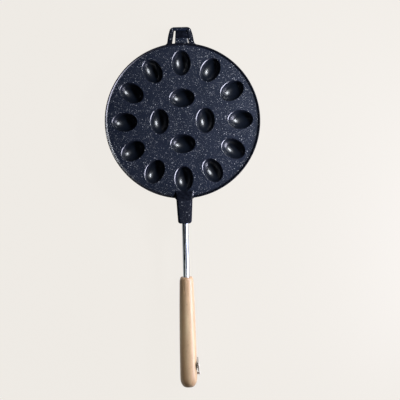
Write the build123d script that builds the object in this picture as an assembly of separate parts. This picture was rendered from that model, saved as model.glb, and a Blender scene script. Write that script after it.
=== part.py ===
from build123d import *
from math import asin, atan2, cos, degrees, hypot, pi, radians, sin, sqrt

# Walnut cookie iron: two cast aluminium plates hinged at one end, each on a steel
# rod with a turned wooden handle, and a sheet steel catch on the handles.
# Millimetres. Origin: centre of the round plates, on the surface the iron stands on.
# +Y points to the hinge, -Y to the handles, +Z up.

# Plates
plate_diameter = 200.0
parting_height = 24.0
closing_gap = 0.3
upper_web = 4.7
lower_web = 5.0
lip_width = 2.0
lip_height = 1.5
skirt_wall = 3.2
skirt_draft = 3.0

# Walnut pattern: rings of cavities, each with its count, pitch radius and turn of its long axis
outer_count = 12
outer_pitch_radius = 74.5
outer_turn = 0.0
inner_count = 4
inner_pitch_radius = 29.5
inner_turn = 90.0

# Cavity in the lower plate, half a walnut shell
cavity_length = 39.0
cavity_width = 30.0
cavity_rise = 0.5
cavity_wall = 3.0

# Wrinkles and seam ridge that print the shell's pattern
ridge_height = 0.8
ridge_width = 1.4

# Flat faces that make up the cast forms: how many round a nut, and how many levels down it
nut_flat_angle = 78.0
cavity_sides = 14
cavity_steps = 3
boss_sides = 10
boss_steps = 2
punch_sides = 10
punch_steps = 2
hollow_sides = 14
hollow_steps = 3

# Punch under the upper plate and the hollow above it
punch_gap = 2.9
punch_rise = 3.3
hollow_length = 31.0
hollow_width = 22.8
hollow_rise = 0.4

# Hinge: a crossbar in the lower plate's lug, a hook on the upper plate's tongue
hinge_reach = 18.6
crossbar_diameter = 5.0
hook_clearance = 0.3
hook_wall = 3.5
hook_start = 150.0
hook_end = 300.0
lug_end_width = 24.8
lug_root_width = 35.0
lug_bow = 1.2
lug_root_radius = 4.0
lug_end_radius = 4.0
lug_root_depth = 7.0
lug_overlap = 4.0
lug_step_gap = 0.8
lug_ramp = 2.8
window_end_width = 15.4
window_root_width = 22.2
tongue_end_width = 10.8
tongue_root_width = 17.2
tongue_shift = 0.8
tongue_flat = 6.5

# Tangs that hold the rods
rod_offset = 12.0
tang_end_reach = 32.0
tang_root_reach = 6.0
tang_root_width = 22.0
tang_end_width = 17.2
tang_corner_radius = 3.0
tang_flare_radius = 4.0
tang_height = 13.0
tang_face_start = 9.5
tang_ramp_end = 2.4
tang_edge_radius = 2.0

# Rods
rod_diameter = 8.0
rod_exposed = 69.0
spigot_diameter = 6.0
spigot_length = 20.0
rod_chamfer = 0.8
rod_in_handle = 62.0

# Handles
handle_length = 141.0
handle_diameter = 21.5
handle_nose_diameter = 13.5
handle_shoulder_diameter = 17.4
handle_shoulder = 6.0
handle_end_length = 12.0
handle_end_inset = 7.5

# Catch on the right side of the handles
catch_thickness = 0.7
catch_clearance = 0.85
catch_tilt = 3.0
catch_from_nose = 113.0
catch_north = 7.9
catch_south = 9.5
catch_head_radius = 7.0
catch_corner_radius = 1.6
catch_arm = 3.2
catch_lock_angle = 20.0
catch_slot_clearance = 0.3
screw_diameter = 3.0
screw_head_diameter = 6.4
screw_head_height = 1.0
screw_depth = 9.0
washer_diameter = 7.0
washer_bite = 0.4
running_clearance = 0.05
keeper_gap = 1.4

plate_radius = plate_diameter / 2
upper_bottom = parting_height + closing_gap
upper_top = upper_bottom + upper_web
lower_bottom = parting_height - lower_web
hinge_y = plate_radius + hinge_reach
crossbar_radius = crossbar_diameter / 2
hook_inner = crossbar_radius + hook_clearance
hook_outer = hook_inner + hook_wall
rod_radius = rod_diameter / 2
upper_rod_z = parting_height + rod_offset
lower_rod_z = parting_height - rod_offset
tang_end_y = -(plate_radius + tang_end_reach)
nose_y = tang_end_y - rod_exposed
handle_belly = handle_length - handle_end_length


def nut_places():
    """Where every nut sits, with its long axis along local X."""
    places = []
    rings = [
        (outer_count, outer_pitch_radius, outer_turn),
        (inner_count, inner_pitch_radius, inner_turn),
    ]
    for count, pitch_radius, turn in rings:
        for index in range(count):
            angle = 90 + index * 360 / count
            x = pitch_radius * cos(radians(angle))
            y = pitch_radius * sin(radians(angle))
            places.append(Pos(x, y, 0) * Rot(0, 0, angle + turn))
    return places


def flat(corners):
    """A flat face between corners."""
    return Face(Wire.make_polygon(corners, close=True))


def nut_form(length, width, centre_z, top_z, sides, steps, wrinkle=0.0):
    """
    Half a nut: the lower half of a spheroid made of flat faces, cut off at top_z.
    Wrinkles draw every second corner in, and swap from one level to the next.
    """
    depth = width / 2
    first = asin((centre_z - top_z) / depth)
    last = radians(nut_flat_angle)
    rings = []
    for level in range(steps + 1):
        latitude = first + (last - first) * level / steps
        z = centre_z - depth * sin(latitude)
        ring = []
        for side in range(sides):
            angle = 2 * pi * (side + 0.5) / sides
            dent = wrinkle / depth if (side + level) % 2 else 0
            share = cos(latitude) - dent
            ring.append((length / 2 * share * cos(angle), depth * share * sin(angle), z))
        rings.append(ring)
    return Solid(Shell([flat(rings[0]), flat(rings[-1])] + side_faces(rings, wrinkle)))


def side_faces(rings, wrinkle):
    """Faces between each ring of corners and the next, folded out along the ridges where they are wrinkled."""
    faces = []
    for level in range(len(rings) - 1):
        upper = rings[level]
        lower = rings[level + 1]
        for side in range(len(upper)):
            after = (side + 1) % len(upper)
            corners = [upper[side], upper[after], lower[after], lower[side]]
            if wrinkle == 0:
                faces.append(flat(corners))
                continue
            first = (side + level) % 2
            corners = corners[first:] + corners[:first]
            faces.append(flat(corners[:3]))
            faces.append(flat(corners[2:] + corners[:1]))
    return faces


def cavity_tool():
    """What is taken out of the lower plate for one nut: wrinkled, with a seam ridge left in it."""
    centre = parting_height + cavity_rise
    width = cavity_width
    form = nut_form(cavity_length, width, centre, centre, cavity_sides, cavity_steps, ridge_height)
    inset = 2 * ridge_height
    core = nut_form(cavity_length - inset, width - inset, centre, centre, cavity_sides, cavity_steps)
    seam = Pos(0, 0, centre - width / 2) * Box(cavity_length, ridge_width, width)
    return (form - seam) + (core & seam)


def lug_plan():
    """Outline of the lower plate and its hinge lug, whose sides bow outward, seen from above."""
    root = lug_root_width / 2
    root_y = plate_radius - lug_overlap
    end = lug_end_width / 2
    end_y = hinge_y + crossbar_radius
    bow = (root + end) / 2 + lug_bow
    bow_y = (root_y + end_y) / 2
    lug = make_face([
        Line((-root, root_y), (root, root_y)),
        ThreePointArc((root, root_y), (bow, bow_y), (end, end_y)),
        Line((end, end_y), (-end, end_y)),
        ThreePointArc((-end, end_y), (-bow, bow_y), (-root, root_y)),
    ])
    ends = [v for v in lug.vertices() if v.Y > hinge_y]
    lug = fillet(ends, lug_end_radius)
    plan = Circle(plate_radius) + lug
    roots = [v for v in plan.vertices() if root_y < v.Y < plate_radius and abs(v.X) > 1]
    return fillet(roots, lug_root_radius)


def lug_side():
    """The lug seen from the side: up past the parting plane, round about the hinge."""
    root_y = plate_radius - lug_overlap
    step_y = plate_radius + lug_step_gap
    top = parting_height + crossbar_radius
    side = Polygon(
        (root_y, parting_height),
        (step_y, parting_height),
        (step_y + lug_ramp, top),
        (hinge_y, top),
        (hinge_y, parting_height - crossbar_radius),
        (root_y, parting_height - lug_root_depth),
        align=None,
    )
    return side + Pos(hinge_y, parting_height) * Circle(crossbar_radius)


def along_x(face, width):
    """Extrudes a side outline, drawn as (y, z), evenly to both sides of X = 0."""
    return extrude(Plane.YZ * face, width / 2, both=True)


def upward(face, height):
    """Extrudes a plan outline from the table up to a height."""
    return extrude(face, height, dir=(0, 0, 1))


def hinge_lug():
    """Two side bars and the round crossbar between them."""
    window = Polygon(
        (-window_root_width / 2, plate_radius),
        (window_root_width / 2, plate_radius),
        (window_end_width / 2, hinge_y),
        (window_end_width / 2, hinge_y + 2 * crossbar_diameter),
        (-window_end_width / 2, hinge_y + 2 * crossbar_diameter),
        (-window_end_width / 2, hinge_y),
        align=None,
    )
    opening = window + Pos(0, plate_radius) * Rectangle(window_root_width, 2 * lug_step_gap)
    plan = lug_plan() - (opening - Circle(plate_radius))
    bars = upward(plan, parting_height + crossbar_diameter)
    bars = bars & along_x(lug_side(), plate_diameter)
    crossbar = Cylinder(crossbar_radius, window_end_width + crossbar_diameter / 2)
    return bars + Pos(0, hinge_y, parting_height) * Rot(0, 90, 0) * crossbar


def hinge_tongue():
    """The upper plate's tongue, which ends in a hook round the crossbar."""
    root_y = plate_radius - lug_overlap
    start = radians(hook_start)
    foot = radians(225)
    web = Polygon(
        (root_y, upper_bottom),
        (root_y, upper_top),
        (plate_radius + tongue_flat, upper_top),
        (hinge_y + hook_outer * cos(start), parting_height + hook_outer * sin(start)),
        (hinge_y, parting_height),
        (hinge_y + hook_outer * cos(foot), parting_height + hook_outer * sin(foot)),
        (plate_radius + tongue_flat / 2, upper_bottom),
        align=None,
    )
    ring = Pos(hinge_y, parting_height) * Circle(hook_outer)
    bore = Pos(hinge_y, parting_height) * Circle(hook_inner)
    reach = 2 * hinge_reach
    mouth = [(hinge_y, parting_height)]
    sweep = 360 - hook_end + hook_start
    for step in range(5):
        angle = radians(hook_end + sweep * step / 4)
        mouth.append((hinge_y + reach * cos(angle), parting_height + reach * sin(angle)))
    side = web + ring - bore - Polygon(*mouth, align=None)
    plan = Polygon(
        (-tongue_root_width / 2, root_y),
        (tongue_root_width / 2, root_y),
        (tongue_end_width / 2, hinge_y + hook_outer),
        (-tongue_end_width / 2, hinge_y + hook_outer),
        align=None,
    )
    tongue = along_x(side, tongue_root_width) & upward(plan, 2 * upper_top)
    return Pos(tongue_shift, 0, 0) * tongue


def tang_plan():
    """Outline of the tang from above: it narrows towards the rod and has rounded corners there."""
    start_y = -(plate_radius - tang_face_start)
    plan = Polygon(
        (-tang_root_width / 2, start_y),
        (tang_root_width / 2, start_y),
        (tang_end_width / 2, tang_end_y),
        (-tang_end_width / 2, tang_end_y),
        align=None,
    )
    corners = [v for v in plan.vertices() if v.Y < -plate_radius]
    return fillet(corners, tang_corner_radius)


def plate_plan():
    """The round outline of both plates, flared out to the root of the tang."""
    root = tang_plan() & (Pos(0, -plate_radius) * Rectangle(tang_root_width, 2 * tang_root_reach))
    plan = Circle(plate_radius) + root
    corners = [v for v in plan.vertices() if -plate_radius < v.Y < -plate_radius / 2]
    return fillet(corners, tang_flare_radius)


def tang():
    """The cranked arm of the upper plate that holds the rod; the lower one mirrors it."""
    half = tang_height / 2
    start_y = -(plate_radius - tang_face_start)
    ramp_y = -(plate_radius + tang_ramp_end)
    side = Polygon(
        (start_y, upper_top - lip_height),
        (start_y, upper_top),
        (ramp_y, upper_rod_z + half),
        (tang_end_y, upper_rod_z + half),
        (tang_end_y, upper_rod_z - half),
        (ramp_y - tang_face_start / 2, upper_rod_z - half),
        (-(plate_radius + tang_face_start / 4), upper_bottom),
        (start_y, upper_bottom),
        align=None,
    )
    body = along_x(side, tang_root_width) & upward(tang_plan(), 3 * upper_rod_z)
    top_edges = [e for e in body.edges() if e.center().Z > upper_top + 1 and abs(e.center().X) > 5]
    body = fillet(top_edges, tang_edge_radius)
    bore = Cylinder(spigot_diameter / 2, spigot_length)
    bore_y = tang_end_y + spigot_length / 2
    return body - Pos(0, bore_y, upper_rod_z) * Rot(90, 0, 0) * bore


def lower_plate():
    """Cavities, webs between them, the skirt it stands on, hinge lug and tang."""
    web = Pos(0, 0, lower_bottom) * upward(plate_plan(), lower_web)
    skirt = Pos(0, 0, parting_height / 2) * Cylinder(plate_radius, parting_height)
    taper = parting_height * sin(radians(skirt_draft))
    inside = Cone(plate_radius - skirt_wall, plate_radius - skirt_wall - taper, lower_bottom)
    lower_tang = mirror(tang(), Plane.XY.offset(parting_height))
    plate = web + (skirt - Pos(0, 0, lower_bottom / 2) * inside) + lower_tang + hinge_lug()
    boss = nut_form(
        cavity_length + 2 * cavity_wall,
        cavity_width + 2 * cavity_wall,
        parting_height + cavity_rise,
        lower_bottom + lower_web / 2,
        boss_sides,
        boss_steps,
    )
    plate = plate + [place * boss for place in nut_places()]
    tool = cavity_tool()
    return plate - [place * tool for place in nut_places()]


def upper_plate():
    """Punches below, hollows above, the lip round the rim, hinge tongue and tang."""
    web = Pos(0, 0, upper_bottom) * upward(plate_plan(), upper_web)
    ring = Cylinder(plate_radius, lip_height) - Cylinder(plate_radius - lip_width, lip_height)
    lip = Pos(0, 0, upper_top + lip_height / 2) * ring
    plate = web + lip + hinge_tongue() + tang()
    punch = nut_form(
        cavity_length - 2 * punch_gap,
        cavity_width - 2 * punch_gap,
        parting_height + punch_rise,
        upper_bottom + upper_web / 2,
        punch_sides,
        punch_steps,
    )
    centre = upper_top + hollow_rise
    hollow = nut_form(hollow_length, hollow_width, centre, centre, hollow_sides, hollow_steps)
    plate = plate + [place * punch for place in nut_places()]
    return plate - [place * hollow for place in nut_places()]


def rod(height):
    """A steel rod with a turned-down spigot that screws into the tang."""
    shaft_length = rod_exposed + rod_in_handle
    shaft = Pos(0, 0, shaft_length / 2) * Cylinder(rod_radius, shaft_length)
    shaft = chamfer(shaft.edges().sort_by(Axis.Z)[-1], rod_chamfer)
    spigot = Pos(0, 0, -spigot_length / 2) * Cylinder(spigot_diameter / 2, spigot_length)
    return Pos(0, tang_end_y, height) * Rot(90, 0, 0) * (shaft + spigot)


def handle_radius_at(distance):
    """Radius of the handle's long swell, an arc that ends parallel to the axis."""
    rise = (handle_diameter - handle_shoulder_diameter) / 2
    run = handle_belly - handle_shoulder
    swell = (run**2 + rise**2) / (2 * rise)
    return handle_diameter / 2 - swell + sqrt(swell**2 - (handle_belly - distance) ** 2)


def handle(height):
    """A turned wooden handle: narrow nose, long swell, rounded end, bored for the rod."""
    nose = (handle_nose_diameter / 2, 0)
    shoulder = (handle_shoulder_diameter / 2, handle_shoulder)
    middle = (handle_shoulder + handle_belly) / 2
    belly = (handle_diameter / 2, handle_belly)
    end = (belly[0] - handle_end_inset, handle_length)
    outline = make_face([
        Line((0, 0), nose),
        Line(nose, shoulder),
        ThreePointArc(shoulder, (handle_radius_at(middle), middle), belly),
        EllipticalCenterArc((end[0], handle_belly), handle_end_inset, handle_end_length, arc_size=90),
        Line(end, (0, handle_length)),
        Line((0, handle_length), (0, 0)),
    ])
    body = revolve(Plane.XZ * outline, Axis.Z)
    bore = Pos(0, 0, rod_in_handle / 2) * Cylinder(rod_radius, rod_in_handle)
    return Pos(0, nose_y, height) * Rot(90, 0, 0) * (body - bore)


pivot_y = nose_y - catch_from_nose
catch_face_x = handle_radius_at(catch_from_nose) + catch_clearance + catch_north * sin(radians(catch_tilt))
catch_frame = Pos(catch_face_x, pivot_y, upper_rod_z) * Rot(0, 0, catch_tilt)
washer_thickness = catch_face_x - handle_radius_at(catch_from_nose) - running_clearance + washer_bite
keeper_drop = 2 * rod_offset
keeper_radius = screw_diameter / 2
keeper_south = catch_south + keeper_radius + keeper_gap
keeper_reach = hypot(keeper_south, keeper_drop)
keeper_angle = degrees(atan2(keeper_south, keeper_drop))


def catch_point(radius, angle):
    """A point on the catch, by distance from the pivot and angle from straight down to the south."""
    return (-radius * sin(radians(angle)), -radius * cos(radians(angle)))


def catch():
    """Sheet steel hook that hangs from its pivot, with a curved slot for the keeper."""
    slot_half = keeper_radius + catch_slot_clearance
    foot_radius = keeper_reach + slot_half + catch_arm
    south_angle = degrees(asin(catch_south / foot_radius))
    north_angle = -degrees(asin(catch_north / foot_radius))
    south_foot = catch_point(foot_radius, south_angle)
    north_foot = catch_point(foot_radius, north_angle)
    middle_foot = catch_point(foot_radius, (south_angle + north_angle) / 2)
    head = catch_head_radius
    shoulder_drop = -keeper_drop * 0.62
    outline = make_face([
        ThreePointArc((head, 0), (0, head), (-head, 0)),
        Line((-head, 0), (-catch_south, shoulder_drop)),
        Line((-catch_south, shoulder_drop), south_foot),
        ThreePointArc(south_foot, middle_foot, north_foot),
        Line(north_foot, (catch_north, shoulder_drop)),
        Line((catch_north, shoulder_drop), (head, 0)),
    ])
    corners = [v for v in outline.vertices() if v.Y < shoulder_drop - 1]
    outline = fillet(corners, catch_corner_radius)
    blind_angle = keeper_angle - catch_lock_angle
    blind = catch_point(keeper_reach, blind_angle)
    band = Circle(keeper_reach + slot_half) - Circle(keeper_reach - slot_half)
    wedge = Polygon(
        (0, 0),
        catch_point(3 * keeper_reach, blind_angle),
        catch_point(3 * keeper_reach, (blind_angle + 90) / 2),
        catch_point(3 * keeper_reach, 90),
        align=None,
    )
    slot = (band & wedge) + Pos(*blind) * Circle(slot_half)
    outline = outline - slot - Circle(keeper_radius + running_clearance)
    return catch_frame * extrude(Plane.YZ * outline, catch_thickness, dir=(1, 0, 0))


def screw(seat, depth):
    """Low screw along local X, its head's underside at the seat."""
    head = Pos(0, 0, screw_head_height / 2) * Cylinder(screw_head_diameter / 2, screw_head_height)
    head = chamfer(head.edges().sort_by(Axis.Z)[-1], screw_head_height / 2)
    shank = Pos(0, 0, -depth / 2) * Cylinder(screw_diameter / 2, depth)
    return Pos(seat, 0, 0) * Rot(0, 90, 0) * (head + shank)


def catch_screw():
    """The pivot, screwed into the upper handle through the washer and the catch."""
    seat = catch_thickness + running_clearance
    return catch_frame * screw(seat, seat + screw_depth)


def keeper_screw():
    """The post in the lower handle that the hook swings over."""
    seat = catch_thickness + catch_slot_clearance
    return keeper_frame() * screw(seat, seat + screw_depth)


def keeper_frame():
    return catch_frame * Pos(0, -keeper_south, -keeper_drop)


def catch_washer():
    """Spacer between the handle, which it is let into, and the catch."""
    ring = Cylinder(washer_diameter / 2, washer_thickness) - Cylinder(keeper_radius, washer_thickness)
    return catch_frame * Pos(-running_clearance - washer_thickness / 2, 0, 0) * Rot(0, 90, 0) * ring


def upper_handle():
    """The handle with the hole for the catch screw."""
    return handle(upper_rod_z) - catch_screw() - catch_washer()


def lower_handle():
    """The handle with the hole for the keeper."""
    return handle(lower_rod_z) - keeper_screw()


pieces = {
    "lower_plate": lower_plate(),
    "upper_plate": upper_plate(),
    "lower_rod": rod(lower_rod_z),
    "upper_rod": rod(upper_rod_z),
    "lower_handle": lower_handle(),
    "upper_handle": upper_handle(),
    "catch_hook": catch(),
    "catch_screw": catch_screw(),
    "catch_washer": catch_washer(),
    "keeper_screw": keeper_screw(),
}
for name, solid in pieces.items():
    export_step(solid, "parts/" + name + ".step")
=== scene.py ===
import bmesh
import bpy
import numpy as np
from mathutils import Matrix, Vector
from mathutils.geometry import delaunay_2d_cdt


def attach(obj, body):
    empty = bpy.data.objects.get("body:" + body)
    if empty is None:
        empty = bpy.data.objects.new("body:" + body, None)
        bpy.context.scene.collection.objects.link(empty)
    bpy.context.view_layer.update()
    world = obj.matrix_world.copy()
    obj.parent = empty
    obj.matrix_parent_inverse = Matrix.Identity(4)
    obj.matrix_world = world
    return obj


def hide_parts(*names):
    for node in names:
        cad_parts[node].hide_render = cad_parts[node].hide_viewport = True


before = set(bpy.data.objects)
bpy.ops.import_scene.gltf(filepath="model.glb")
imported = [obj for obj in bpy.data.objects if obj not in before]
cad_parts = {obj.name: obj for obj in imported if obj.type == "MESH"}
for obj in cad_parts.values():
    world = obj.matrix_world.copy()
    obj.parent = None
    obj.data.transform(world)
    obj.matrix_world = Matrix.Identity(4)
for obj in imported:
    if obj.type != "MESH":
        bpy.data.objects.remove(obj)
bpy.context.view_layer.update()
mm = 0.001  # sizes of pieces are in millimetres; meshes, patterns, lamps and camera are in metres

# Where things are, the same as in the CAD model
layout = {
    "partingZ": 24.0,
    "hingeY": 118.6,
    "tangEndY": -132.0,
    "noseY": -201.0,
    "rodOffset": 12.0,
    "pivot": (11.979, -314.0, 36.0),
    "catchTilt": 3.0,
}
nutRows = {
    "outerCount": 12, "outerRadius": 74.5, "outerTurn": 0.0,
    "innerCount": 4, "innerRadius": 29.5, "innerTurn": 90.0,
}
rimSides = 288
weldDistance = 2e-6  # metres
mergeDistance = 1e-7  # millimetres, in the flat fills


# Mesh helpers: every surface is an array of points and an array of faces

def gridSurface(grid, firstPole=None, lastPole=None):
    # rows run along the profile, columns run round it; a pole closes an end with a fan of triangles
    rows, columns = grid.shape[:2]
    left = np.arange(rows * columns).reshape(rows, columns)
    right = np.roll(left, -1, 1)
    faces = np.stack([left[:-1], right[:-1], right[1:], left[1:]], -1).reshape(-1, 4).tolist()
    points = grid.reshape(-1, 3)
    for pole, row, order in ((firstPole, 0, 1), (lastPole, rows - 1, -1)):
        if pole is None:
            continue
        points = np.vstack([points, np.asarray(pole, float)[None]])
        tip = np.full(len(left[row]), len(points) - 1)
        ring = np.stack([tip, right[row], left[row]], -1)[:, ::order]
        faces += ring.tolist()
    return points, faces


def insideLoop(points, loop):
    # a point is inside when a ray to its right crosses the loop an odd number of times
    x, y = points[:, 0, None], points[:, 1, None]
    ax, ay = loop[:, 0], loop[:, 1]
    bx, by = np.roll(ax, -1), np.roll(ay, -1)
    spans = (ay > y) != (by > y)
    slope = (bx - ax) / np.where(by == ay, 1e-12, by - ay)
    return ((x < ax + (y - ay) * slope) & spans).sum(1) % 2 == 1


def flatFill(loops):
    # triangles between an outer loop and the holes in it, in the plane of the loops' two coordinates
    points = np.vstack(loops)
    edges = []
    start = 0
    for loop in loops:
        ids = np.arange(start, start + len(loop))
        edges += np.stack([ids, np.roll(ids, -1)], -1).tolist()
        start += len(loop)
    found = delaunay_2d_cdt([Vector(p) for p in points.tolist()], edges, [], 0, mergeDistance)
    flat = np.array([v[:] for v in found[0]])
    triangles = np.array(found[2])
    middle = flat[triangles].mean(1)
    keep = insideLoop(middle, loops[0])
    for hole in loops[1:]:
        keep &= ~insideLoop(middle, hole)
    return flat, triangles[keep]


def makePiece(name, surfaces, materials, body, nodes, sharpAngle=50):
    # joins the surfaces into one mesh, welds them, turns all faces outwards and shades it smooth;
    # a surface may name, for all its faces or face by face, which of the materials it has
    points, faces, finish, start = [], [], [], 0
    for surface in surfaces:
        points.append(np.asarray(surface[0], float))
        faces += [[corner + start for corner in face] for face in surface[1]]
        finish.append(np.zeros(len(surface[1]), int) + (surface[2] if len(surface) > 2 else 0))
        start += len(surface[0])
    mesh = bpy.data.meshes.new(name)
    mesh.from_pydata((np.vstack(points) * mm).tolist(), [], faces)
    for material in materials:
        mesh.materials.append(material)
    mesh.polygons.foreach_set("material_index", np.concatenate(finish))
    work = bmesh.new()
    work.from_mesh(mesh)
    bmesh.ops.remove_doubles(work, verts=work.verts, dist=weldDistance)
    bmesh.ops.recalc_face_normals(work, faces=work.faces)
    loose = sum(1 for edge in work.edges if len(edge.link_faces) != 2)
    work.to_mesh(mesh)
    work.free()
    mesh.shade_smooth()
    mesh.set_sharp_from_angle(angle=np.radians(sharpAngle))
    piece = bpy.data.objects.new(name, mesh)
    bpy.context.scene.collection.objects.link(piece)
    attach(piece, body)
    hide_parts(*nodes)
    print(name, "faces", len(mesh.polygons), "open edges", loose)


def evenly(start, end, count):
    # evenly spaced numbers, both ends included
    return np.linspace(start, end, count)


def cutCorners(loop, rounds=2):
    # each round replaces a corner by two points at a quarter and three quarters of its edges
    for _ in range(rounds):
        after = np.roll(loop, -1, 0)
        pairs = np.stack([loop * 0.75 + after * 0.25, loop * 0.25 + after * 0.75], 1)
        loop = pairs.reshape(-1, loop.shape[1])
    return loop


def arc(centre, radius, startAngle, endAngle, count):
    # points on a circle, angles in degrees
    angle = np.radians(evenly(startAngle, endAngle, count))
    return np.stack([centre[0] + radius * np.cos(angle), centre[1] + radius * np.sin(angle)], -1)


# Materials

def newMaterial(name):
    material = bpy.data.materials.new(name)
    material.use_nodes = True
    return material, material.node_tree.nodes, material.node_tree.links


def objectCoordinates(nodes, links, scale):
    # object coordinates, stretched along each axis
    place = nodes.new("ShaderNodeTexCoord")
    mapping = nodes.new("ShaderNodeMapping")
    mapping.inputs["Scale"].default_value = scale
    links.new(place.outputs["Object"], mapping.inputs["Vector"])
    return mapping.outputs["Vector"]


def noise(nodes, links, vector, scale, detail=3.0, roughness=0.5, distortion=0.0):
    texture = nodes.new("ShaderNodeTexNoise")
    texture.inputs["Scale"].default_value = scale
    texture.inputs["Detail"].default_value = detail
    texture.inputs["Roughness"].default_value = roughness
    texture.inputs["Distortion"].default_value = distortion
    links.new(vector, texture.inputs["Vector"])
    return texture


def remap(nodes, links, value, fromMin, fromMax, toMin=0.0, toMax=1.0):
    remapNode = nodes.new("ShaderNodeMapRange")
    remapNode.inputs["From Min"].default_value = fromMin
    remapNode.inputs["From Max"].default_value = fromMax
    remapNode.inputs["To Min"].default_value = toMin
    remapNode.inputs["To Max"].default_value = toMax
    links.new(value, remapNode.inputs["Value"])
    return remapNode.outputs["Result"]


def combine(nodes, links, operation, first, second):
    maths = nodes.new("ShaderNodeMath")
    maths.operation = operation
    for socket, value in zip(maths.inputs, (first, second)):
        if isinstance(value, (int, float)):
            socket.default_value = value
        else:
            links.new(value, socket)
    return maths.outputs["Value"]


def mixColours(nodes, links, factor, first, second):
    mix = nodes.new("ShaderNodeMix")
    mix.data_type = "RGBA"
    links.new(factor, mix.inputs["Factor"])
    for socket, value in ((mix.inputs["A"], first), (mix.inputs["B"], second)):
        if isinstance(value, tuple):
            socket.default_value = (*value, 1.0)
        else:
            links.new(value, socket)
    return mix.outputs["Result"]


def addBump(nodes, links, shader, height, distance, strength=1.0):
    bump = nodes.new("ShaderNodeBump")
    bump.inputs["Distance"].default_value = distance
    bump.inputs["Strength"].default_value = strength
    links.new(height, bump.inputs["Height"])
    links.new(bump.outputs["Normal"], shader.inputs["Normal"])


coatSurface = {
    "cloudScale": 45.0, "cloudFrom": 0.35, "cloudTo": 0.65, "speckCore": 0.75,
    "grainScale": 1400.0, "grainHeight": 0.00002, "grainStrength": 0.5,
}
coatLook = {
    "dark": (0.0062, 0.0100, 0.0210),
    "cloud": (0.0100, 0.0142, 0.0270),
    "speck": (0.86, 0.88, 0.92),
    "speckScales": (410.0, 680.0, 1000.0),
    "speckReach": (0.18, 0.18, 0.17),
    "speckShare": (0.60, 0.65, 0.60),
    "roughness": 0.35,
}
armCoatLook = {
    "dark": (0.0020, 0.0038, 0.0105),
    "cloud": (0.0045, 0.0068, 0.0150),
    "speck": (0.86, 0.88, 0.92),
    "speckScales": (330.0, 680.0, 1000.0),
    "speckReach": (0.21, 0.16, 0.15),
    "speckShare": (0.40, 0.35, 0.40),
    "roughness": 0.40,
}


def speckField(nodes, links, vector, scale, reach, share):
    # a pale dot round the middle of a cell, in a share of the cells and from faint to full
    cells = nodes.new("ShaderNodeTexVoronoi")
    cells.inputs["Scale"].default_value = scale
    links.new(vector, cells.inputs["Vector"])
    split = nodes.new("ShaderNodeSeparateColor")
    links.new(cells.outputs["Color"], split.inputs["Color"])
    near = remap(nodes, links, cells.outputs["Distance"], reach, reach * coatSurface["speckCore"])
    chosen = remap(nodes, links, split.outputs["Red"], 1.0 - share, 1.0)
    return combine(nodes, links, "MULTIPLY", near, chosen)


def coatMaterial(name, look):
    # black non-stick coating with sprayed pale specks in three sizes
    material, nodes, links = newMaterial(name)
    shader = nodes["Principled BSDF"]
    coat = coatSurface
    vector = objectCoordinates(nodes, links, (1, 1, 1))
    clouds = noise(nodes, links, vector, coat["cloudScale"], 4.0)
    cloudShare = remap(nodes, links, clouds.outputs["Fac"], coat["cloudFrom"], coat["cloudTo"])
    base = mixColours(nodes, links, cloudShare, look["dark"], look["cloud"])
    specks = 0.0
    for scale, reach, share in zip(look["speckScales"], look["speckReach"], look["speckShare"]):
        field = speckField(nodes, links, vector, scale, reach, share)
        specks = combine(nodes, links, "MAXIMUM", specks, field)
    links.new(mixColours(nodes, links, specks, base, look["speck"]), shader.inputs["Base Color"])
    shader.inputs["Roughness"].default_value = look["roughness"]
    grain = noise(nodes, links, vector, coat["grainScale"], 2.0).outputs["Fac"]
    addBump(nodes, links, shader, grain, coat["grainHeight"], coat["grainStrength"])
    return material


plainSurface = {
    "patchScale": 260.0, "patchFrom": 0.3, "patchTo": 0.7, "smoother": 0.03, "rougher": 0.05,
    "height": 0.00002, "strength": 0.12,
}
# painted shade: the smooth coating of the hollows and the rims is coloured darker than the face's
smoothShadedLook = {"colour": (0.0048, 0.0072, 0.0135), "roughness": 0.31, "specular": 0.70}
rimShadedLook = {"colour": (0.0030, 0.0038, 0.0075), "roughness": 0.27, "specular": 0.85}


def plainCoatMaterial(name, look):
    # the same coating where it lies smooth and without specks, in the hollows and on the rims; its colour,
    # darker than the face's, is painted shade
    material, nodes, links = newMaterial(name)
    shader = nodes["Principled BSDF"]
    shader.inputs["Base Color"].default_value = (*look["colour"], 1.0)
    shader.inputs["Specular IOR Level"].default_value = look["specular"]
    vector = objectCoordinates(nodes, links, (1, 1, 1))
    plain = plainSurface
    patches = noise(nodes, links, vector, plain["patchScale"], 3.0).outputs["Fac"]
    least, most = look["roughness"] - plain["smoother"], look["roughness"] + plain["rougher"]
    rough = remap(nodes, links, patches, plain["patchFrom"], plain["patchTo"], least, most)
    links.new(rough, shader.inputs["Roughness"])
    addBump(nodes, links, shader, patches, plain["height"], plain["strength"])
    return material


# painted shade: the two tones of the dark, unreflecting coating put where shade falls
paintedShadeLook = {
    "dark": (0.0042, 0.0050, 0.0086), "pale": (0.0130, 0.0150, 0.0235),
    "patchScale": 300.0, "patchFrom": 0.35, "patchTo": 0.7, "roughness": 0.45, "specular": 0.0,
}


def paintedShadeCoatMaterial():
    # painted shade: a dark coating without reflection, put on edges, in corners, on the tang's ramp and
    # sides and on the hook, where shade falls
    material, nodes, links = newMaterial("paintedShadeCoating")
    shader = nodes["Principled BSDF"]
    vector = objectCoordinates(nodes, links, (1, 1, 1))
    patches = noise(nodes, links, vector, paintedShadeLook["patchScale"], 3.0).outputs["Fac"]
    shades = remap(nodes, links, patches, paintedShadeLook["patchFrom"], paintedShadeLook["patchTo"])
    colour = mixColours(nodes, links, shades, paintedShadeLook["dark"], paintedShadeLook["pale"])
    links.new(colour, shader.inputs["Base Color"])
    shader.inputs["Roughness"].default_value = paintedShadeLook["roughness"]
    shader.inputs["Specular IOR Level"].default_value = paintedShadeLook["specular"]
    return material


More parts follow.
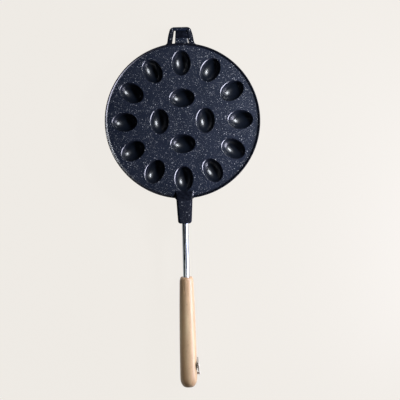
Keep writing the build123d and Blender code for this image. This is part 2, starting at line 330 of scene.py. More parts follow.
beechLook = {
    "pale": (0.480, 0.355, 0.203), "warm": (0.405, 0.248, 0.136), "fleck": (0.220, 0.125, 0.065),
    "streakStretch": (90, 7, 90), "streakScale": 2.4, "streakFrom": 0.36, "streakTo": 0.66,
    "noseStart": -0.205, "noseEnd": -0.250, "noseShare": 0.8,
    "fleckStretch": (1500, 190, 1500), "fleckScale": 1.6,
    "fleckFrom": 0.60, "fleckTo": 0.74, "fleckShare": 0.60,
    "ringStretch": (60, 1300, 60), "ringHeight": 0.00003, "ringStrength": 0.5, "roughness": 0.42,
}


def beechMaterial():
    # turned beech: long soft streaks along the handle, warmer near the nose, with short dark flecks
    material, nodes, links = newMaterial("turnedBeech")
    shader = nodes["Principled BSDF"]
    look = beechLook
    along = objectCoordinates(nodes, links, look["streakStretch"])
    streaks = noise(nodes, links, along, look["streakScale"], 5.0, 0.6, 0.4)
    share = remap(nodes, links, streaks.outputs["Fac"], look["streakFrom"], look["streakTo"])
    base = mixColours(nodes, links, share, look["pale"], look["warm"])
    split = nodes.new("ShaderNodeSeparateXYZ")
    links.new(objectCoordinates(nodes, links, (1, 1, 1)), split.inputs["Vector"])
    alongY = split.outputs["Y"]
    nose = remap(nodes, links, alongY, look["noseEnd"], look["noseStart"], 0.0, look["noseShare"])
    base = mixColours(nodes, links, nose, base, look["warm"])
    short = objectCoordinates(nodes, links, look["fleckStretch"])
    fine = noise(nodes, links, short, look["fleckScale"], 1.0).outputs["Fac"]
    flecks = remap(nodes, links, fine, look["fleckFrom"], look["fleckTo"], 0.0, look["fleckShare"])
    links.new(mixColours(nodes, links, flecks, base, look["fleck"]), shader.inputs["Base Color"])
    rings = noise(nodes, links, objectCoordinates(nodes, links, look["ringStretch"]), 1.0, 2.0)
    addBump(nodes, links, shader, rings.outputs["Fac"], look["ringHeight"], look["ringStrength"])
    shader.inputs["Roughness"].default_value = look["roughness"]
    return material


steelSurface = {
    "stainScale": 160.0, "stainFrom": 0.4, "stainTo": 0.65,
    "lineFrom": 0.3, "lineTo": 0.7, "smoother": 0.05, "rougher": 0.08, "height": 0.00001, "strength": 0.4,
}


def steelMaterial(name, colour, roughness, scale, streak, metallic=1.0):
    # plated or rolled steel: fine drawn lines along one axis change roughness and height a little
    material, nodes, links = newMaterial(name)
    shader = nodes["Principled BSDF"]
    steel = steelSurface
    lines = noise(nodes, links, objectCoordinates(nodes, links, scale), 1.0, 3.0).outputs["Fac"]
    plain = objectCoordinates(nodes, links, (1, 1, 1))
    stains = noise(nodes, links, plain, steel["stainScale"], 4.0).outputs["Fac"]
    dull = tuple(channel * (1.0 - streak) for channel in colour)
    stained = remap(nodes, links, stains, steel["stainFrom"], steel["stainTo"])
    links.new(mixColours(nodes, links, stained, colour, dull), shader.inputs["Base Color"])
    least, most = roughness - steel["smoother"], roughness + steel["rougher"]
    rough = remap(nodes, links, lines, steel["lineFrom"], steel["lineTo"], least, most)
    links.new(rough, shader.inputs["Roughness"])
    addBump(nodes, links, shader, lines, steel["height"], steel["strength"])
    shader.inputs["Metallic"].default_value = metallic
    return material


beech = beechMaterial()
rodSteel = steelMaterial("brightRod", (0.42, 0.46, 0.50), 0.30, (700, 60, 700), 0.12)
sheetSteel = steelMaterial("dullSheet", (0.20, 0.17, 0.13), 0.62, (200, 200, 1500), 0.2, 0.15)
screwSteel = steelMaterial("platedScrew", (0.52, 0.48, 0.43), 0.50, (900, 900, 900), 0.1, 0.0)
coats = [
    coatMaterial("speckledCoating", coatLook),
    plainCoatMaterial("smoothShadedCoating", smoothShadedLook),
    paintedShadeCoatMaterial(),
    plainCoatMaterial("rimShadedCoating", rimShadedLook),
    coatMaterial("armCoating", armCoatLook),
]
# deep is the painted-shade coating: dark and without reflection where shade falls
speckled, smooth, deep, rim, arm = range(5)
print("materials made")


# The walnut forms in the two plates

def nutPlaces():
    # centre and angle of the long axis of every nut
    places = []
    for ring in ("outer", "inner"):
        count = nutRows[ring + "Count"]
        angle = np.radians(90 + np.arange(count) * 360 / count)
        radius = nutRows[ring + "Radius"]
        turn = angle + np.radians(nutRows[ring + "Turn"])
        places += list(zip(radius * np.cos(angle), radius * np.sin(angle), turn))
    return places


wrinkles = {
    "waves": 7, "turn": 2.4, "liftTurn": 1.9, "lift": 0.6, "slowest": 7.5, "faster": 1.1, "shift": 1.7,
    "whole": 3.2, "fadeDepth": 1.5,
}


def wrinkleDepth(direction):
    # walnut wrinkles: the size of a sum of plane waves through the unit ball, so the pole has no seam
    total = np.zeros(direction.shape[:2])
    for wave in range(wrinkles["waves"]):
        turn = wave * wrinkles["turn"]
        lift = np.cos(wave * wrinkles["liftTurn"]) * wrinkles["lift"]
        heading = np.array([np.cos(turn), np.sin(turn), lift])
        speed = wrinkles["slowest"] + wave * wrinkles["faster"]
        total += np.sin(direction @ heading * speed + wave * wrinkles["shift"])
    return np.abs(total) / wrinkles["whole"]


def nutSurface(place, form):
    # a flat margin, a bevelled edge, then a spheroid down to its pole: each ring is an ellipse whose
    # half lengths are the spheroid's at that depth plus what is left of the bevel's width
    share = evenly(0, 2 * np.pi, form["around"] + 1)[:-1]
    around = share - form.get("crowd", 0.0) * np.sin(2 * share)  # crowds the points near the seam
    bevel = np.array([0.0, 0.0, 0.12, 0.88, 1.0])
    level = form["faceZ"] - form["edgeDrop"] * bevel
    spare = form["edge"] * (1 - bevel)
    spare[0] += form["margin"]
    slope = np.arcsin(np.clip((form["centreZ"] - level) / form["deep"], -1, 1))
    last = evenly(slope[-1], np.pi / 2, form["down"] + 2)[1:-1]
    slope = np.concatenate([slope, last])
    spare = np.concatenate([spare, np.zeros(len(last))])
    level = np.concatenate([level, form["centreZ"] - form["deep"] * np.sin(last)])
    halfLong, halfShort = form["long"] / 2, form["wide"] / 2
    x = (halfLong * np.cos(slope) + spare)[:, None] * np.cos(around)
    y = (halfShort * np.cos(slope) + spare)[:, None] * np.sin(around)
    z = np.repeat(level[:, None], len(around), 1)
    tip = form["centreZ"] - form["deep"]
    if form.get("wrinkle"):
        inner = np.stack([x / halfLong, y / halfShort, (z - form["centreZ"]) / form["deep"]], -1)
        rise = form["wrinkle"] * (1 - np.clip(wrinkleDepth(inner), 0, 1))
        seam = form["seamHeight"] * np.exp(-((y / form["seamWidth"]) ** 2))
        fade = np.clip((form["faceZ"] - z - form["edgeDrop"]) / wrinkles["fadeDepth"], 0, 1)
        pull = 1 - np.maximum(rise, seam) * fade / halfShort
        x, y = x * pull, y * pull
        z = form["centreZ"] + (z - form["centreZ"]) * pull
        tip = form["centreZ"] - form["deep"] * pull[-1].mean()
    centreX, centreY, heading = place
    worldX = centreX + x * np.cos(heading) - y * np.sin(heading)
    worldY = centreY + x * np.sin(heading) + y * np.cos(heading)
    if "wallRadius" in form:  # a boss that reaches the skirt ends at its inner wall
        reach = np.hypot(worldX, worldY)
        limit = np.minimum(form["wallRadius"] + (form["faceZ"] - z) * form["wallDraft"], reach) / reach
        worldX, worldY = worldX * limit, worldY * limit
    return np.stack([worldX, worldY, z], -1), (centreX, centreY, tip)


def turnedRim(profile):
    # a profile of radius and height carried round the plate's axis
    angle = evenly(0, 2 * np.pi, rimSides + 1)[:-1]
    radius, height = profile[:, 0, None], profile[:, 1, None]
    grid = np.stack([radius * np.cos(angle), radius * np.sin(angle), height + 0 * angle], -1)
    return gridSurface(grid)


def pittedFace(form, rimRadius):
    # a flat round face whose holes are the first rings of the nuts, with the nuts in them
    angle = evenly(0, 2 * np.pi, rimSides + 1)[:-1]
    loops = [np.stack([rimRadius * np.cos(angle), rimRadius * np.sin(angle)], -1)]
    surfaces = []
    for place in nutPlaces():
        grid, tip = nutSurface(place, form)
        loops.append(grid[0, :, :2])
        points, faces = gridSurface(grid, None, tip)
        row = np.arange(len(faces)) // form["around"]
        # the bevel gets the rim coating and the bowl the smooth coating, both darker than the face as
        # painted shade
        surfaces.append((points, faces, np.select([row < 1, row < 4], [speckled, rim], smooth)))
    flat, triangles = flatFill(loops)
    points = np.column_stack([flat, np.full(len(flat), form["faceZ"])])
    surfaces.append((points, triangles.tolist()))
    return surfaces


# Arms and slabs that grow out of the plates

tangShape = {
    "startY": -89.8, "rampStart": -89.8, "rampY": -102.6, "rampSoft": 0.03, "endY": layout["tangEndY"],
    "rootHalf": 11.0, "endHalf": 8.6, "endRound": 3.2, "tipReach": 1.4,
    "topZ": 42.5, "faceZ": 29.0, "sink": 0.15, "topRound": 2.6, "topShare": 0.8,
    "foot": 1.6, "footSink": 0.2, "plateEnd": 98.5, "flareRadius": 4.5, "flareEnd": 104.0, "flareLift": 0.3,
    "flareDrop": 9.0, "underY": (89.0, 103.5, 107.2, 132.0), "underZ": (24.6, 24.6, 29.5, 29.5),
    "stations": 84, "tipSteps": 16, "curveSteps": 7, "crownShare": 0.45, "edgeBand": 2.3,
}


def tangSurface(shape, mirrorZ=None):
    # a section carried along the arm: flat bottom, hollow foot where it leaves the plate, straight side,
    # rounded top
    last = shape["endY"] + shape["endRound"] * shape["tipReach"]
    tip = shape["endY"] + (last - shape["endY"]) * (1 - np.sin(np.radians(evenly(0, 90, shape["tipSteps"]))))
    y = np.concatenate([evenly(shape["startY"], last, shape["stations"]), tip[1:]])
    along = (y - shape["rampStart"]) / (shape["endY"] - shape["rampStart"])
    half = shape["rootHalf"] + (shape["endHalf"] - shape["rootHalf"]) * along
    tail = np.clip((shape["endY"] + shape["endRound"] - y) / shape["endRound"], 0, 1)
    half = half - shape["endRound"] * (1 - np.sqrt(1 - tail**2))
    climb = np.clip((shape["rampStart"] - y) / (shape["rampStart"] - shape["rampY"]), 0, 1)
    soft = climb - shape["rampSoft"] * np.sin(2 * np.pi * climb)
    low = shape["faceZ"] - shape["sink"]
    top = low + (shape["topZ"] - low) * soft
    under = np.interp(-y, shape["underY"], shape["underZ"])
    onPlate = y > -shape["plateEnd"]
    beyond = np.clip((-shape["plateEnd"] - y) / shape["flareRadius"], 0, 1)
    flare = np.where(onPlate, shape["foot"], shape["flareRadius"] * (1 - np.sqrt(1 - (1 - beyond) ** 2)))
    flareTop = [shape["faceZ"] + shape["flareLift"], shape["topZ"] - shape["flareDrop"]]
    flareTop = np.interp(-y, [shape["plateEnd"], shape["flareEnd"]], flareTop)
    footTop = np.where(onPlate, shape["faceZ"] + shape["foot"], flareTop)
    footLow = np.where(onPlate, shape["faceZ"] - shape["footSink"], under)
    roundTop = np.minimum(shape["topRound"], np.maximum(top - footTop, 0.1) * shape["topShare"])
    curve = np.radians(evenly(0, 90, shape["curveSteps"]))
    columnsX = [0 * half, (half + flare) * 0.5, half + flare]
    columnsZ = [under, under, under]
    footRise = np.maximum(np.minimum(footTop, top - roundTop), footLow) - footLow
    for angle in curve:  # hollow foot, from flat to upright
        columnsX.append(half + flare * (1 - np.sin(angle)))
        columnsZ.append(footLow + footRise * (1 - np.cos(angle)))
    for angle in curve:  # rounded top edge
        columnsX.append(half - roundTop * (1 - np.cos(angle)))
        columnsZ.append(np.maximum(top - roundTop * (1 - np.sin(angle)), footLow))
    columnsX.append(half * shape["crownShare"])
    columnsZ.append(top)
    rightX, rightZ = np.stack(columnsX, 1), np.stack(columnsZ, 1)
    x = np.hstack([rightX, 0 * top[:, None], -rightX[:, :0:-1]])
    z = np.hstack([rightZ, top[:, None], rightZ[:, :0:-1]])
    if mirrorZ is not None:
        z = 2 * mirrorZ - z
    grid = np.stack([x, np.repeat(y[:, None], x.shape[1], 1), z], -1)
    points, faces = gridSurface(grid, grid[0].mean(0), grid[-1].mean(0))
    middle = points[np.array([face[:3] for face in faces])].mean(1)
    side = np.interp(-middle[:, 1], -y, half) - shape["edgeBand"]
    onRamp = middle[:, 1] > shape["rampY"]
    shiny = onRamp & (middle[:, 0] > side)
    # painted shade: the ramp and the bands along the arm's sides get the dark, unreflecting coating; the
    # ramp's band towards +X gets the rim coating
    dark = onRamp | (np.abs(middle[:, 0]) > side)
    return points, faces, np.select([shiny, dark], [rim, deep], arm)


def slab(loops, lowX, highX, edge, steps=4):
    # outlines of height against length, given thickness across; the rounded edges draw every outline
    # in by what is left of a quarter circle, and the two ends are filled with the outlines' triangles
    rows = []
    surfaces = []
    turn = np.radians(evenly(0, 90, steps + 1))
    for number, loop in enumerate(loops):
        ahead, behind = np.roll(loop, -1, 0), np.roll(loop, 1, 0)
        along = ahead - behind
        normal = np.stack([-along[:, 1], along[:, 0]], -1) / np.maximum(np.hypot(*along.T), 1e-9)[:, None]
        area = 0.5 * np.sum(loop[:, 0] * ahead[:, 1] - ahead[:, 0] * loop[:, 1])
        inward = normal * np.sign(area) * (1 if number == 0 else -1)
        rings = []
        for side in (0, 1):
            for angle in (turn if side == 0 else turn[::-1]):
                drawn = loop + inward * edge * (1 - np.sin(angle))
                offset = edge * (1 - np.cos(angle))
                x = lowX(drawn[:, 0]) + offset if side == 0 else highX(drawn[:, 0]) - offset
                rings.append(np.stack([x, drawn[:, 0], drawn[:, 1]], -1))
        rows.append(rings)
        surfaces.append(gridSurface(np.stack(rings)))
    triangles = flatFill(loops)[1].tolist()
    for end in (0, -1):
        surfaces.append((np.vstack([rings[end] for rings in rows]), triangles))
    return surfaces


lugShape = {
    "rootY": 96.0, "rootHalf": 17.5, "endHalf": 12.4, "bow": 1.2, "endY": 121.1,
    "windowY": 100.0, "windowRoot": 11.1, "windowEnd": 7.7, "highRoot": 10.4,
    "cornerRound": 4.0, "flareY": 98.4, "rootRound": 4.0, "edge": 1.3, "bar": 2.5, "barInWall": 1.2,
}


def windowHalf(y, root="windowRoot"):
    # half the width of the opening between the lug's bars, which is a little less on the side of +X
    share = np.clip((y - lugShape["windowY"]) / (layout["hingeY"] - lugShape["windowY"]), 0, 1)
    return lugShape[root] + (lugShape["windowEnd"] - lugShape[root]) * share


tongueShape = {
    "rootY": 96.0, "rootHalf": 8.6, "taperLength": 28.9, "endHalf": 5.4, "shift": 0.8, "edge": 0.7,
    "inner": 2.8, "outer": 6.3, "flatY": 106.5, "stepLength": 0.8, "play": 0.04,
    "highExtra": 0.7, "lowExtra": 0.7, "lowY": 100.0, "lowLength": 16.0,
}


def tongueSurfaces():
    # the upper plate's tongue and hook seen from the side, given its tapering width; towards +X the hook
    # comes close to the lug's bar
    hinge = (layout["hingeY"], layout["partingZ"])
    shape = tongueShape
    foot = hinge[0] + shape["outer"] * np.cos(np.radians(225))
    outline = np.vstack([
        [[95.0, 28.9], [101.0, 28.95], [shape["flatY"] - 0.6, 28.95], [shape["flatY"] + 0.6, 28.75]],
        [[113.08, 27.03]],  # where the tongue's top turns down to the crossbar
        arc(hinge, shape["inner"], 151, 298, 26),
        arc(hinge, shape["outer"], 298, 225, 14),
        [[foot - 5.0, 21.8], [103.25, 24.4], [99.0, 24.4], [95.0, 24.4]],
    ])

    def half(y):
        taper = (y - shape["rootY"]) / shape["taperLength"]
        return shape["rootHalf"] + (shape["endHalf"] - shape["rootHalf"]) * taper

    def highSide(y):
        plain = shape["shift"] + half(y) + shape["highExtra"]
        reach = np.maximum(windowHalf(y, "highRoot") - shape["play"] - plain, 0)
        return plain + reach * np.clip((y - shape["flatY"]) / shape["stepLength"] + 1, 0, 1)

    def lowSide(y):
        share = np.clip((y - shape["lowY"]) / shape["lowLength"], 0, 1)
        return shape["shift"] - half(y) - shape["lowExtra"] * share

    surfaces = slab([cutCorners(outline)], lowSide, highSide, shape["edge"])
    finished = []
    for points, faces in surfaces:  # the hook beyond the flat tongue has the painted-shade coating, dark as in shade
        middle = points[np.array([face[:3] for face in faces])].mean(1)
        finished.append((points, faces, np.where(middle[:, 1] > shape["flatY"], deep, speckled)))
    return finished


def lugSurfaces():
    # the lower plate's side bars seen from the side, given their bowed width, and the crossbar between them
    shape = lugShape
    hinge = (layout["hingeY"], layout["partingZ"])
    outline = np.vstack([
        [[95.0, 23.9], [100.9, 23.9], [103.6, 26.5], [110.0, 26.5]],
        arc(hinge, shape["bar"], 90, -90, 18),
        [[108.0, 19.4], [95.0, 16.9]],
    ])

    def outerX(y):
        share = (y - shape["rootY"]) / (shape["endY"] - shape["rootY"])
        side = shape["rootHalf"] + (shape["endHalf"] - shape["rootHalf"]) * share
        side = side + shape["bow"] * 4 * share * (1 - share)
        past = np.clip((y - (shape["endY"] - shape["cornerRound"])) / shape["cornerRound"], 0, 1)
        root = np.clip(1 - (y - shape["flareY"]) / shape["rootRound"], 0, 1)
        flare = shape["rootRound"] * (1 - np.sqrt(1 - root**2))
        return side - shape["cornerRound"] * (1 - np.sqrt(1 - past**2)) + flare

    loop = cutCorners(outline)
    surfaces = slab([loop], lambda y: windowHalf(y, "highRoot"), outerX, shape["edge"])
    surfaces += slab([loop], lambda y: -outerX(y), lambda y: -windowHalf(y), shape["edge"])
    finished = []
    for points, faces in surfaces:  # the bars' rounded edges have the painted-shade coating, dark as in shade
        middle = points[np.array([face[:3] for face in faces])].mean(1)
        across = np.abs(middle[:, 0])
        window = np.where(middle[:, 0] > 0, windowHalf(middle[:, 1], "highRoot"), windowHalf(middle[:, 1]))
        outer, inner = outerX(middle[:, 1]) - across, across - window
        finished.append((points, faces, np.where(np.minimum(outer, inner) < shape["edge"], deep, arm)))
    surfaces = finished
    angle = evenly(0, 2 * np.pi, 49)[:-1]
    reach = shape["windowEnd"] + shape["barInWall"]
    across = np.array([-reach, 0.0, reach])[:, None]
    barY = hinge[0] + shape["bar"] * np.cos(angle) + 0 * across
    barZ = hinge[1] + shape["bar"] * np.sin(angle) + 0 * across
    ring = np.stack([across + 0 * angle, barY, barZ], -1)
    surfaces.append((*gridSurface(ring, (-reach, *hinge), (reach, *hinge)), speckled))
    return surfaces


# The upper plate

def makeCasting(name, surfaces, half):
    # one of the pieces that together take the place of a casting
    makePiece(name, surfaces, coats, half + "_half", [half + "_plate"])


hollowForm = {
    "long": 31.0, "wide": 22.8, "deep": 11.2, "centreZ": 29.4, "faceZ": 29.0,
    "edge": 0.85, "edgeDrop": 0.7, "margin": 0.4, "around": 96, "down": 26,
}
punchForm = {
    "long": 33.2, "wide": 24.2, "deep": 11.84, "centreZ": 27.3, "faceZ": 24.3,
    "edge": 0.8, "edgeDrop": 0.5, "margin": 0.3, "around": 64, "down": 16,
}
lipProfile = np.vstack([
    [[96.4, 29.0], [96.9, 29.0], [97.15, 29.1], [98.35, 30.2]],
    arc((98.95, 29.9), 0.6, 130, 90, 3),
    arc((99.3, 29.8), 0.7, 90, 0, 6),
    [[100.0, 27.0]],
    arc((99.4, 24.9), 0.6, 0, -90, 5),
    [[98.8, 24.3]],
])
upperSurfaces = pittedFace(hollowForm, lipProfile[0, 0])
upperSurfaces += pittedFace(punchForm, lipProfile[-1, 0])
rimPoints, rimFaces = turnedRim(lipProfile)
rimRow = np.arange(len(rimFaces)) // rimSides
# the lip's slope has the rim coating, darker than the face as painted shade, and the crest's outer rounding
# has the painted-shade coating
rimFinish = np.select([rimRow < 1, rimRow < 7, rimRow < 12], [speckled, rim, deep], speckled)
upperSurfaces.append((rimPoints, rimFaces, rimFinish))
makeCasting("upperCasting", upperSurfaces, "upper")
makeCasting("upperTang", [tangSurface(tangShape)], "upper")
makeCasting("hookTongue", tongueSurfaces(), "upper")
print("upper plate made")

# The lower plate

cavityForm = {
    "long": 39.0, "wide": 30.0, "deep": 14.9, "centreZ": 24.5, "faceZ": 24.0,
    "edge": 0.5, "edgeDrop": 0.4, "margin": 0.4, "around": 120, "down": 26,
    "crowd": 0.32, "wrinkle": 0.9, "seamHeight": 0.9, "seamWidth": 0.8,
}
bossForm = {
    "long": 45.0, "wide": 36.0, "deep": 17.6, "centreZ": 24.5, "faceZ": 19.0,
    "edge": 0.7, "edgeDrop": 0.4, "margin": 0.2, "around": 72, "down": 16,
    "wallRadius": 95.3, "wallDraft": 0.0524,
}
skirtProfile = np.vstack([
    [[99.0, 24.0]],
    arc((99.4, 23.4), 0.6, 90, 0, 5),
    [[100.0, 12.0]],
    arc((99.2, 0.8), 0.8, 0, -90, 6),
    arc((97.6, 0.8), 0.8, 270, 180, 6),
    [[95.6, 18.4]],
    [[95.4, 19.0]],
])
lowerSurfaces = pittedFace(cavityForm, skirtProfile[0, 0])
lowerSurfaces += pittedFace(bossForm, skirtProfile[-1, 0])
lowerSurfaces.append(turnedRim(skirtProfile))
makeCasting("lowerCasting", lowerSurfaces, "lower")
lowerTangShape = {**tangShape, "startY": -95.7}  # starts in the skirt's wall, clear of the cavities
makeCasting("lowerTang", [tangSurface(lowerTangShape, layout["partingZ"])], "lower")
makeCasting("hingeLug", lugSurfaces(), "lower")
print("lower plate made")


# Rods and handles, turned about their own axes

def turnedAlong(profile, origin, forward, sides=96):
    # a profile of radius and distance carried round an axis; an end at radius 0 becomes a pole
    forward = np.asarray(forward, float) / np.linalg.norm(forward)
    sideways = np.cross(forward, (0.0, 0.0, 1.0))
    sideways /= np.linalg.norm(sideways)
    upwards = np.cross(sideways, forward)
    angle = evenly(0, 2 * np.pi, sides + 1)[:-1]
    round3 = np.cos(angle)[:, None] * sideways + np.sin(angle)[:, None] * upwards
    origin = np.asarray(origin, float)
    closed = profile[1:-1]
    grid = origin + closed[:, 1, None, None] * forward + closed[:, 0, None, None] * round3
    ends = [origin + profile[end, 1] * forward for end in (0, -1)]
    return gridSurface(grid, ends[0], ends[1])


rodShape = {
    "radius": 4.0, "exposed": 69.0, "inHandle": 62.0, "spigot": 3.0, "spigotLength": 20.0,
    "edge": 0.15, "endRound": 0.8,
}
handleShape = {
    "length": 141.0, "radius": 10.746, "nose": 6.75, "noseFrom": 8, "noseTo": 82, "noseRound": 0.6,
    "faceRound": 0.9,
    "shoulder": 8.7, "shoulderAt": 6.0, "endLength": 12.0, "endInset": 7.5, "bore": 4.0, "boreDepth": 62.0,
}


def rodSurface(height):
    # spigot in the tang, long shaft, chamfered end in the handle
    shape = rodShape
    length = shape["exposed"] + shape["inHandle"]
    profile = np.array([
        [0, -shape["spigotLength"]], [shape["spigot"], -shape["spigotLength"]], [shape["spigot"], 0.0],
        [shape["radius"] - shape["edge"], 0.0], [shape["radius"], shape["edge"]],
        [shape["radius"], length - shape["endRound"]], [shape["radius"] - shape["endRound"], length],
        [0, length],
    ])
    return turnedAlong(profile, (0, layout["tangEndY"], height), (0, -1, 0), 64)


def handleSurface(height):
    # rounded nose, long swell that ends parallel to the axis, elliptical end, bore for the rod
    shape = handleShape
    belly = shape["length"] - shape["endLength"]
    rise, run = shape["radius"] - shape["shoulder"], belly - shape["shoulderAt"]
    swell = (run**2 + rise**2) / (2 * rise)
    nose = np.radians(evenly(shape["noseFrom"], shape["noseTo"], 9))
    noseLow = shape["nose"] - shape["noseRound"]
    noseRadius = noseLow + (shape["shoulder"] - noseLow) * np.sin(nose)
    noseAlong = shape["shoulderAt"] * (1 - np.cos(nose))
    along = evenly(shape["shoulderAt"], belly, 60)
    swellRadius = shape["radius"] - swell + np.sqrt(swell**2 - (belly - along) ** 2)
    end = np.radians(evenly(0, 90, 14))[1:]
    endRadius = shape["radius"] - shape["endInset"] * (1 - np.cos(end))
    endAlong = belly + shape["endLength"] * np.sin(end)
    boreRadius = [0, shape["bore"], shape["bore"], shape["nose"] - shape["faceRound"]]
    boreAlong = [shape["boreDepth"], shape["boreDepth"], 0, 0]
    radius = np.concatenate([boreRadius, noseRadius, swellRadius, endRadius, [0]])
    distance = np.concatenate([boreAlong, noseAlong, along, endAlong, [shape["length"]]])
    return turnedAlong(np.stack([radius, distance], -1), (0, layout["noseY"], height), (0, -1, 0), 128)


for half, sign in (("upper", 1), ("lower", -1)):
    height = layout["partingZ"] + sign * layout["rodOffset"]
    body = half + "_half"
    makePiece(half + "Rod", [rodSurface(height)], [rodSteel], body, [half + "_rod"], 40)
    makePiece(half + "Handle", [handleSurface(height)], [beech], body, [half + "_handle"])
print("rods and handles made")


# The catch, its screw and washer, and the keeper

catchShape = {
    "thickness": 1.0, "edge": 0.12, "north": 7.9, "south": 9.5, "head": 7.0, "arm": 3.2, "lockAngle": 20.0,
    "slotGap": 0.3, "shoulderShare": 0.62, "cornerLift": 1.4, "northCorner": 1.8, "southCorner": 1.2,
    "hole": 1.55, "gap": 0.05, "keeperGap": 1.4,
}
screwShape = {
    "shank": 1.5, "depth": 9.0, "headRadius": 3.2, "headInset": 0.1, "headHeight": 1.0, "headEdge": 0.15,
    "domeFrom": 20, "domeTo": 88, "domeShift": 0.34, "domeWhole": 1.2,
}
washerShape = {"radius": 3.5, "thickness": 1.628, "edge": 0.15}
tilt = np.radians(layout["catchTilt"])
acrossAxis = np.array([np.cos(tilt), np.sin(tilt), 0.0])
northAxis = np.array([-np.sin(tilt), np.cos(tilt), 0.0])
upAxis = np.array([0.0, 0.0, 1.0])
pivotPoint = np.array(layout["pivot"])
keeperDrop = 2 * layout["rodOffset"]
keeperSouth = catchShape["south"] + screwShape["shank"] + catchShape["keeperGap"]
keeperReach = np.hypot(keeperSouth, keeperDrop)


def fromPivot(points):
    # points given as distance out from the handle, distance north and height above the pivot
    return pivotPoint + np.asarray(points, float) @ np.stack([acrossAxis, northAxis, upAxis])


def hang(radius, angle):
    # north and height of points at a radius from the pivot and angles south of straight down
    angle = np.radians(angle)
    return np.stack([-radius * np.sin(angle), -radius * np.cos(angle)], -1)


def catchSurfaces():
    # one outline round the head, down both sides and in along the curved slot, and the pivot's hole
    shape = catchShape
    slotHalf = screwShape["shank"] + shape["slotGap"]
    slotLow, slotHigh = keeperReach + slotHalf, keeperReach - slotHalf
    foot = slotLow + shape["arm"]
    blind = np.degrees(np.arctan2(keeperSouth, keeperDrop)) - shape["lockAngle"]
    shoulder = -keeperDrop * shape["shoulderShare"]

    def sideAngle(side, radius):
        return np.degrees(np.arcsin(side / radius))

    capAngle = np.radians(evenly(0, 180, 10)) + np.radians(-90 - blind)
    cap = hang(keeperReach, blind) + slotHalf * np.stack([np.cos(capAngle), np.sin(capAngle)], -1)
    northAngle = sideAngle(-shape["north"], foot)
    cornerZ = -foot * np.cos(np.radians(northAngle)) + shape["cornerLift"]
    footEnds = sideAngle(shape["south"], foot) - shape["southCorner"], northAngle + shape["northCorner"]
    outline = np.vstack([
        arc((0, 0), shape["head"], 0, 180, 26),
        [[-shape["south"], shoulder]],
        hang(slotHigh, evenly(sideAngle(shape["south"], slotHigh), blind, 8)),
        cap[-2:0:-1],
        hang(slotLow, evenly(blind, sideAngle(shape["south"], slotLow), 8)),
        hang(foot, evenly(*footEnds, 12)),
        [[shape["north"], cornerZ], [shape["north"], shoulder]],
    ])
    hole = arc((0, 0), shape["hole"], 360, 15, 24)
    thick = shape["thickness"]
    surfaces = slab([outline, hole], lambda y: 0 * y, lambda y: thick + 0 * y, shape["edge"], 3)
    return [(fromPivot(points), faces) for points, faces in surfaces]


def screwSurface(origin, seat):
    # shank in the wood, low domed head
    shape = screwShape
    edge, top = shape["headEdge"], seat + shape["headHeight"]
    inset = shape["headInset"]
    dome = np.radians(evenly(shape["domeFrom"], shape["domeTo"], 8)) - shape["domeShift"]
    domeAlong = seat + edge + (shape["headHeight"] - edge) * np.sin(dome) / np.sin(shape["domeWhole"])
    radius = np.concatenate([
        [0, shape["shank"], shape["shank"], shape["headRadius"] - inset, shape["headRadius"]],
        shape["headRadius"] * np.cos(dome), [0],
    ])
    along = np.concatenate([[-shape["depth"], -shape["depth"], seat, seat, seat + inset], domeAlong, [top]])
    return turnedAlong(np.stack([radius, np.minimum(along, top)], -1), origin, acrossAxis, 48)


def washerSurface():
    # a flat ring with slightly broken edges round the screw
    inner, outer, edge = screwShape["shank"], washerShape["radius"], washerShape["edge"]
    near = -catchShape["gap"]
    far = near - washerShape["thickness"]
    profile = np.array([
        [inner, near], [outer - edge, near], [outer, near - edge],
        [outer, far + edge], [outer - edge, far], [inner, far],
    ])
    angle = evenly(0, 2 * np.pi, 49)[:-1]
    round3 = np.cos(angle)[:, None] * northAxis + np.sin(angle)[:, None] * upAxis
    grid = pivotPoint + profile[:, 1, None, None] * acrossAxis + profile[:, 0, None, None] * round3
    return gridSurface(np.concatenate([grid, grid[:1]]))


def makeScrewPart(name, surface, half, node):
    # a screw or a washer
    makePiece(name, [surface], [screwSteel], half + "_half", [node], 40)


keeperPoint = fromPivot([[0, -keeperSouth, -keeperDrop]])[0]
pivotScrew = screwSurface(pivotPoint, catchShape["thickness"] + catchShape["gap"])
keeperScrew = screwSurface(keeperPoint, catchShape["thickness"] + catchShape["slotGap"])
makePiece("catchHook", catchSurfaces(), [sheetSteel], "catch", ["catch_hook"], 40)
makeScrewPart("catchScrew", pivotScrew, "upper", "catch_screw")
makeScrewPart("catchWasher", washerSurface(), "upper", "catch_washer")
makeScrewPart("keeperScrew", keeperScrew, "lower", "keeper_screw")
print("catch made")


# Floor, light and camera

studio = {
    "background": (0.871, 0.838, 0.791), "world": (0.006, 0.007, 0.011),
    "shadowShare": 0.02, "floorHalf": 4.0, "floorRoughness": 0.9,
}
lamps = {
    "keyLamp": {
        "target": (0.0, -0.05, 0.03), "azimuth": 25.0, "elevation": 42.0, "distance": 0.52, "power": 3.5,
        "width": 0.24, "height": 0.05, "colour": (0.90, 0.94, 1.0), "spread": 180.0,
    },
    "sideLamp": {
        "target": (0.0, -0.05, 0.03), "azimuth": -18.0, "elevation": 14.0, "distance": 0.41, "power": 3.7,
        "width": 0.42, "height": 0.12, "colour": (0.80, 0.80, 1.0), "spread": 180.0,
    },
    "gripLamp": {
        "target": (0.0, -0.29, 0.036), "azimuth": 120.0, "elevation": 76.0, "distance": 0.50, "power": 0.026,
        "width": 0.10, "height": 0.10, "colour": (1.0, 0.98, 0.95), "spread": 32.0,
    },
}


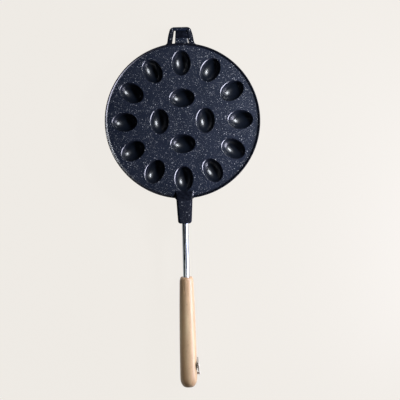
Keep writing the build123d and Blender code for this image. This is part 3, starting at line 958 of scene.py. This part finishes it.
def backgroundMix(nodes, links, shader, shadowShare):
    # the camera, and mirrors, see the plain background colour; the share lets the shadow show through
    rays = nodes.new("ShaderNodeLightPath")
    seen = combine(nodes, links, "MAXIMUM", rays.outputs["Is Camera Ray"], rays.outputs["Is Glossy Ray"])
    seen = combine(nodes, links, "MAXIMUM", seen, rays.outputs["Is Transmission Ray"])
    glow = nodes.new("ShaderNodeEmission")
    glow.inputs["Color"].default_value = (*studio["background"], 1.0)
    mix = nodes.new("ShaderNodeMixShader")
    links.new(combine(nodes, links, "MULTIPLY", seen, 1.0 - shadowShare), mix.inputs["Fac"])
    links.new(shader, mix.inputs[1])
    links.new(glow.outputs["Emission"], mix.inputs[2])
    return mix.outputs["Shader"]


def makeFloor():
    material, nodes, links = newMaterial("paleFloor")
    shader = nodes["Principled BSDF"]
    shader.inputs["Base Color"].default_value = (*studio["background"], 1.0)
    shader.inputs["Roughness"].default_value = studio["floorRoughness"]
    shader.inputs["Specular IOR Level"].default_value = 0.0
    mixed = backgroundMix(nodes, links, shader.outputs["BSDF"], studio["shadowShare"])
    links.new(mixed, nodes["Material Output"].inputs["Surface"])
    mesh = bpy.data.meshes.new("floor")
    half = studio["floorHalf"]
    corners = [(-half, -half, 0), (half, -half, 0), (half, half, 0), (-half, half, 0)]
    mesh.from_pydata(corners, [], [(0, 1, 2, 3)])
    mesh.materials.append(material)
    floor = bpy.data.objects.new("floor", mesh)
    bpy.context.scene.collection.objects.link(floor)


def makeWorld():
    world = bpy.data.worlds.new("studioWorld")
    bpy.context.scene.world = world
    world.use_nodes = True
    nodes, links = world.node_tree.nodes, world.node_tree.links
    dim = nodes["Background"]
    dim.inputs["Color"].default_value = (*studio["world"], 1.0)
    rays = nodes.new("ShaderNodeLightPath")
    plain = nodes.new("ShaderNodeBackground")
    plain.inputs["Color"].default_value = (*studio["background"], 1.0)
    mix = nodes.new("ShaderNodeMixShader")
    links.new(rays.outputs["Is Camera Ray"], mix.inputs["Fac"])
    links.new(dim.outputs["Background"], mix.inputs[1])
    links.new(plain.outputs["Background"], mix.inputs[2])
    links.new(mix.outputs["Shader"], nodes["World Output"].inputs["Surface"])


def makeLamp(name, target, azimuth, elevation, distance, power, width, height, colour, spread):
    # an area lamp at an azimuth from +X and an elevation, turned to its target; spread is its beam's angle
    data = bpy.data.lights.new(name, "AREA")
    data.shape = "ELLIPSE"
    data.energy = power
    data.color = colour
    data.spread = np.radians(spread)
    data.size, data.size_y = width, height
    azimuth, elevation = np.radians(azimuth), np.radians(elevation)
    flat = np.cos(elevation)
    away = Vector((flat * np.cos(azimuth), flat * np.sin(azimuth), np.sin(elevation)))
    lamp = bpy.data.objects.new(name, data)
    lamp.location = Vector(target) + away * distance
    lamp.rotation_euler = away.to_track_quat("Z", "Y").to_euler()
    bpy.context.scene.collection.objects.link(lamp)


makeFloor()
makeWorld()
for name, settings in lamps.items():
    makeLamp(name, **settings)

# the picture is as wide as the view's width, in metres, at the height of its plane
view = {
    "width": 0.5144, "plane": 0.029, "height": 2.2, "centre": (0.0200, -0.1024), "roll": 1.4, "sensor": 36.0,
}
cameraData = bpy.data.cameras.new("camera")
cameraData.sensor_width = view["sensor"]
cameraData.lens = view["sensor"] * (view["height"] - view["plane"]) / view["width"]
camera = bpy.data.objects.new("camera", cameraData)
camera.location = (*view["centre"], view["height"])
camera.rotation_euler = (0.0, 0.0, -np.radians(view["roll"]))
bpy.context.scene.collection.objects.link(camera)
bpy.context.scene.camera = camera
bpy.context.scene.view_settings.view_transform = "Standard"
print("stage made")
